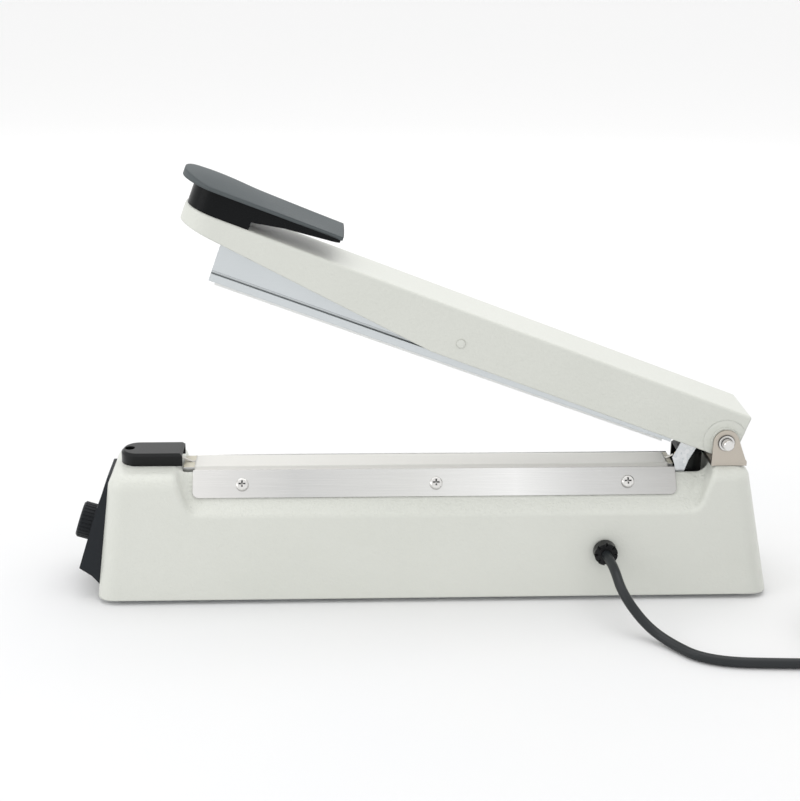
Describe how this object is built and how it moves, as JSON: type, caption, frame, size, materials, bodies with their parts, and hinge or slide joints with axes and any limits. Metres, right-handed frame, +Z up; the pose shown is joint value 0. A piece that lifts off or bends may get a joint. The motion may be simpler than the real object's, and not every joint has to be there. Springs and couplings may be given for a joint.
{
  "type": "impulse heat sealer",
  "caption": "Hand impulse bag sealer: cream cast base with slim sealing deck, black timer panel, and a spring-raised lever arm with pressing bar and handle.",
  "frame": {"origin": "centre of the footprint of the machine on the table, cord left out", "axes": "+X along the machine from the operator's end to the hinge, +Y across it away from the side the cord leaves, +Z up"},
  "size_m": [0.5734, 0.1881, 0.2649],
  "materials": {
    "cream_casting": "textured cream enamel",
    "cream_arm": "orange-peel cream enamel",
    "black_plastic": "semi-gloss black moulding",
    "matte_black": "fine-grain matte black",
    "stainless": "brushed stainless",
    "nickel": "nickel plated",
    "zinc": "zinc plated",
    "bright_steel": "bright plated",
    "spring_steel": "oiled spring wire",
    "aluminium": "extruded, brushed",
    "silicone": "white silicone",
    "rubber": "black rubber",
    "cloth": "coated release cloth",
    "tape": "woven insulation",
    "nichrome": "flat resistance ribbon",
    "brass": "brass",
    "lamp": "red lens",
    "board": "green laminate",
    "component": "dark component case",
    "lamination": "varnished laminations",
    "nylon": "natural nylon",
    "winding": "taped winding",
    "cord": "black cord sheath"
  },
  "bodies": {
    "base": {"base_housing": "cream_casting", "front_panel": "black_plastic", "indicator_lamp": "lamp", "potentiometer": "component", "bottom_plate": "zinc", "rubber_feet": "rubber", "foot_screws": "zinc", "sealing_deck": "aluminium", "insulation_tape": "tape", "heating_element": "nichrome", "release_cloth": "cloth", "side_plate_near": "stainless", "side_plate_far": "stainless", "plate_screws": "bright_steel", "front_terminal": "brass", "rear_terminal": "brass", "rear_terminal_insulator": "nylon", "terminal_screws": "brass", "front_terminal_cover": "black_plastic", "rear_terminal_cover": "black_plastic", "hinge_bracket": "nickel", "bracket_brace": "nickel", "bracket_screws": "bright_steel", "hinge_pin": "bright_steel", "hinge_bushing": "bright_steel", "retaining_rings": "bright_steel", "return_spring_coil": "spring_steel", "micro_switch": "component", "switch_hanger": "zinc", "transformer_core": "lamination", "transformer_bobbin": "nylon", "transformer_winding": "winding", "transformer_strap": "zinc", "transformer_screws": "zinc", "transformer_pad": "nylon", "timer_board": "board", "board_standoffs": "nylon", "timer_relay": "component", "board_capacitors": "component", "wire_terminal_block": "nylon", "cord_strain_relief": "black_plastic", "power_cord": "cord", "cord_coil": "cord", "cord_tie": "black_plastic", "plug_body": "black_plastic", "plug_pins": "brass"},
    "arm": {"press_arm": "cream_arm", "handle_body": "black_plastic", "handle_pad": "matte_black", "handle_screws": "zinc", "bar_pivot_pin": "cream_arm", "pivot_spacers": "nylon", "return_spring_leg": "spring_steel", "switch_tongue": "zinc"},
    "bar": {"pressing_bar": "aluminium", "silicone_strip": "silicone"},
    "knob": {"timer_knob": "matte_black", "timer_shaft": "zinc"},
    "button": {"switch_button": "component"}
  },
  "joints": [
    {"name": "arm_hinge", "type": "hinge", "parent": "base", "child": "arm", "pos_m": [0.1886, 0, 0.09907], "axis": [0, -1, 0], "range_deg": [0, 20.52], "stiffness_Nm_per_rad": 1.6, "springref_deg": -57.3},
    {"name": "bar_pivot", "type": "hinge", "parent": "arm", "child": "bar", "pos_m": [0.02328, 0, 0.16231], "axis": [0, 1, 0], "range_deg": [0, 0.36]},
    {"name": "timer_knob_turn", "type": "hinge", "parent": "base", "child": "knob", "pos_m": [-0.20572, 0, 0.0387], "axis": [-0.9516, 0, 0.3074], "range_deg": [0, 270]},
    {"name": "switch_press", "type": "slide", "parent": "base", "child": "button", "axis": [0, 0, -1], "range_m": [0, 0.00125]}
  ],
  "couplings": [
    {"joint": "bar_pivot", "follows": "arm_hinge", "ratio": 0.017057},
    {"joint": "switch_press", "follows": "arm_hinge", "m_per_rad": 0.003351}
  ]
}
